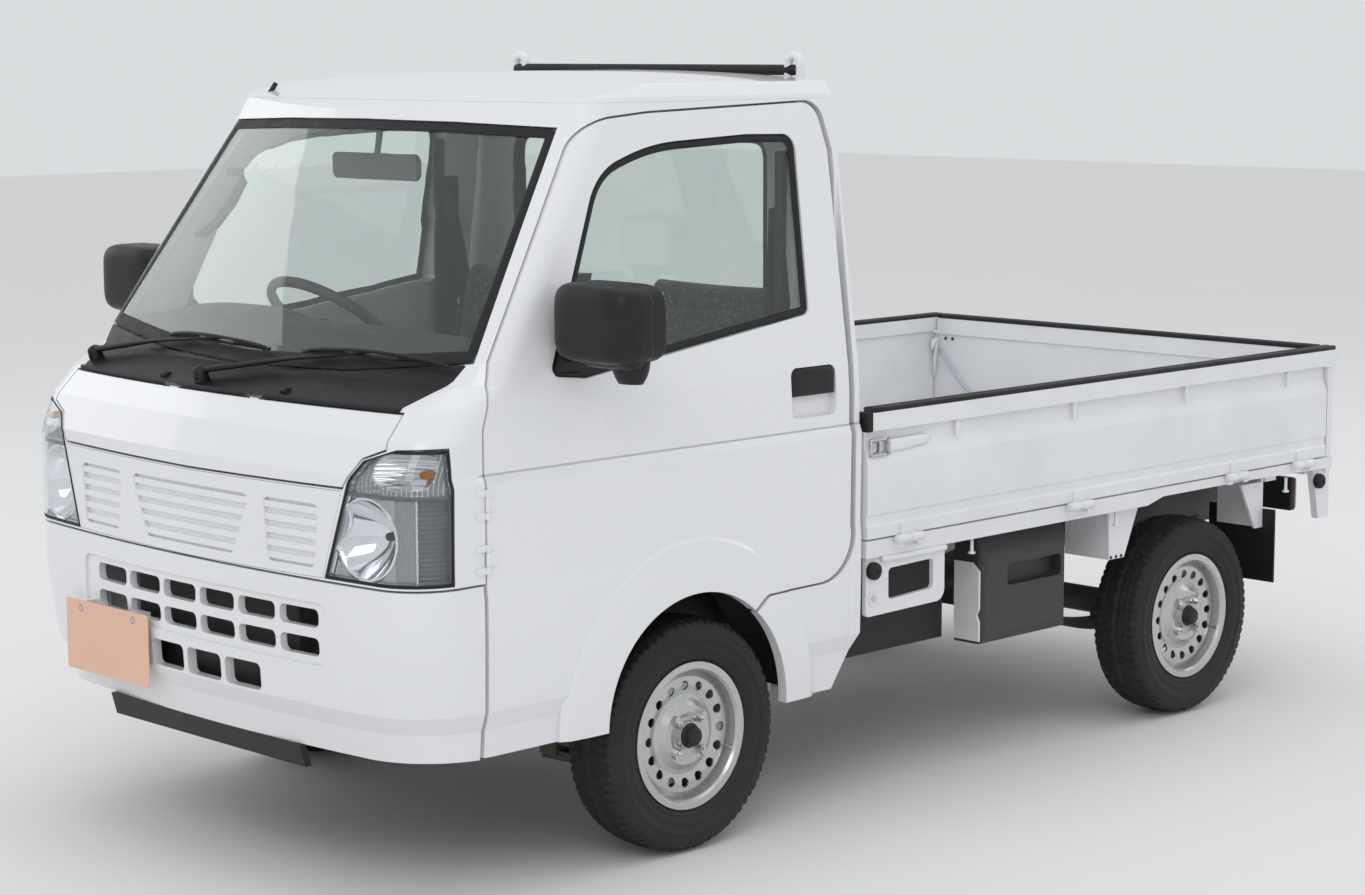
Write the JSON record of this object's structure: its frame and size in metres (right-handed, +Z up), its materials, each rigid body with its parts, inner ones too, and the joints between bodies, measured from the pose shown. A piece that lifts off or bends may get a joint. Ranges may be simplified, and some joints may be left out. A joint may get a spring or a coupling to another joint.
{
  "type": "kei truck",
  "caption": "Small white cab-over light truck with opening doors, a front lid, drop-side load bed, guard frame and steered front wheels.",
  "frame": {"origin": "centre of the footprint on the ground, between the tips of the mirrors and the ends of the truck", "axes": "+Z up, +Y towards the rear, +X towards the truck's left side; the front faces -Y"},
  "size_m": [1.916, 3.395, 1.7868],
  "materials": {
    "body_paint": "gloss",
    "inner_paint": "satin",
    "black_plastic": "matt",
    "grey_plastic": "matt",
    "dash_plastic": "matt",
    "black_metal": "satin",
    "cast_metal": "matt",
    "galvanised": "satin",
    "glass": "clear",
    "lens": "clear",
    "lamp_bowl": "polished",
    "red_lens": "gloss",
    "seat_fabric": "woven",
    "tyre": "matt",
    "wheel_silver": "satin",
    "plate": "satin",
    "rubber": "matt"
  },
  "bodies": {
    "root": {"antenna": "black_plastic", "battery_bracket": "body_paint", "battery_cover": "grey_plastic", "bed_cross_members": "body_paint", "bed_floor": "body_paint", "bed_underframe": "body_paint", "cab_back_panel": "body_paint", "cab_floor": "inner_paint", "cab_shell": "body_paint", "cabin_fittings": "grey_plastic", "chassis_frame": "black_metal", "cowl_panel": "black_plastic", "dashboard": "dash_plastic", "driveline": "cast_metal", "engine_block": "cast_metal", "exhaust": "galvanised", "front_bumper": "body_paint", "front_suspension": "black_metal", "front_valance": "black_plastic", "fuel_tank": "black_metal", "headboard": "body_paint", "headlamp_housings": "lamp_bowl", "headlamp_lenses": "lens", "leaf_springs": "black_metal", "mud_flaps": "rubber", "nose_panel": "body_paint", "number_plate": "plate", "radiator": "black_metal", "rear_axle": "black_metal", "rear_fenders": "body_paint", "rear_window": "glass", "roof_panel": "body_paint", "seat_backs": "seat_fabric", "seat_bases": "seat_fabric", "splash_shields": "black_plastic", "steering_column": "black_plastic", "tail_lamps": "red_lens", "windshield": "glass", "wipers": "black_plastic"},
    "hood": {"hood": "body_paint"},
    "steering_wheel": {"steering_wheel": "black_plastic"},
    "tailgate": {"tailgate": "body_paint"},
    "door_left": {"door_left": "body_paint", "door_glass_left": "glass", "door_fittings_left": "black_plastic"},
    "knuckle_left": {"knuckle_left": "black_metal"},
    "side_gate_left": {"side_gate_left": "body_paint"},
    "wheel_front_left": {"tyre_front_left": "tyre", "rim_front_left": "wheel_silver"},
    "wheel_rear_left": {"tyre_rear_left": "tyre", "rim_rear_left": "wheel_silver"},
    "door_right": {"door_right": "body_paint", "door_glass_right": "glass", "door_fittings_right": "black_plastic"},
    "knuckle_right": {"knuckle_right": "black_metal"},
    "side_gate_right": {"side_gate_right": "body_paint"},
    "wheel_front_right": {"tyre_front_right": "tyre", "rim_front_right": "wheel_silver"},
    "wheel_rear_right": {"tyre_rear_right": "tyre", "rim_rear_right": "wheel_silver"}
  },
  "joints": [
    {"name": "wheel_front_left_spin", "type": "hinge", "parent": "knuckle_left", "child": "wheel_front_left", "pos_m": [0.6525, -0.848, 0.268], "axis": [1, 0, 0], "continuous": true},
    {"name": "wheel_front_right_spin", "type": "hinge", "parent": "knuckle_right", "child": "wheel_front_right", "pos_m": [-0.6525, -0.848, 0.268], "axis": [1, 0, 0], "continuous": true},
    {"name": "wheel_rear_left_spin", "type": "hinge", "parent": "root", "child": "wheel_rear_left", "pos_m": [0.645, 1.057, 0.268], "axis": [1, 0, 0], "continuous": true},
    {"name": "wheel_rear_right_spin", "type": "hinge", "parent": "root", "child": "wheel_rear_right", "pos_m": [-0.645, 1.057, 0.268], "axis": [1, 0, 0], "continuous": true},
    {"name": "steering_turn", "type": "hinge", "parent": "root", "child": "steering_wheel", "pos_m": [-0.335, -1.01, 1.13], "axis": [0, 0.6428, 0.766], "range_deg": [-512, 512]},
    {"name": "steer_left", "type": "hinge", "parent": "root", "child": "knuckle_left", "pos_m": [0.5814, -0.848, 0.268], "axis": [-0.2066, 0, 0.9784], "range_deg": [-32.5, 32.5]},
    {"name": "door_left_swing", "type": "hinge", "parent": "root", "child": "door_left", "pos_m": [0.735, -1.4575, 0.8075], "axis": [0, 0, -1], "range_deg": [0, 70]},
    {"name": "side_gate_left_drop", "type": "hinge", "parent": "root", "child": "side_gate_left", "pos_m": [0.7465, 0.7, 0.636], "axis": [0, 1, 0], "range_deg": [0, 175]},
    {"name": "steer_right", "type": "hinge", "parent": "root", "child": "knuckle_right", "pos_m": [-0.5814, -0.848, 0.268], "axis": [0.2066, 0, 0.9784], "range_deg": [-32.5, 32.5]},
    {"name": "door_right_swing", "type": "hinge", "parent": "root", "child": "door_right", "pos_m": [-0.735, -1.4575, 0.8075], "axis": [0, 0, 1], "range_deg": [0, 70]},
    {"name": "side_gate_right_drop", "type": "hinge", "parent": "root", "child": "side_gate_right", "pos_m": [-0.7465, 0.7, 0.636], "axis": [0, -1, 0], "range_deg": [0, 175]},
    {"name": "tailgate_drop", "type": "hinge", "parent": "root", "child": "tailgate", "pos_m": [0, 1.6875, 0.636], "axis": [-1, 0, 0], "range_deg": [0, 175]},
    {"name": "hood_lift", "type": "hinge", "parent": "root", "child": "hood", "pos_m": [0, -1.612, 1.056], "axis": [-1, 0, 0], "range_deg": [0, 60]}
  ],
  "couplings": [
    {"joint": "steer_left", "follows": "steering_turn", "ratio": 0.0625},
    {"joint": "steer_right", "follows": "steering_turn", "ratio": 0.0625}
  ]
}
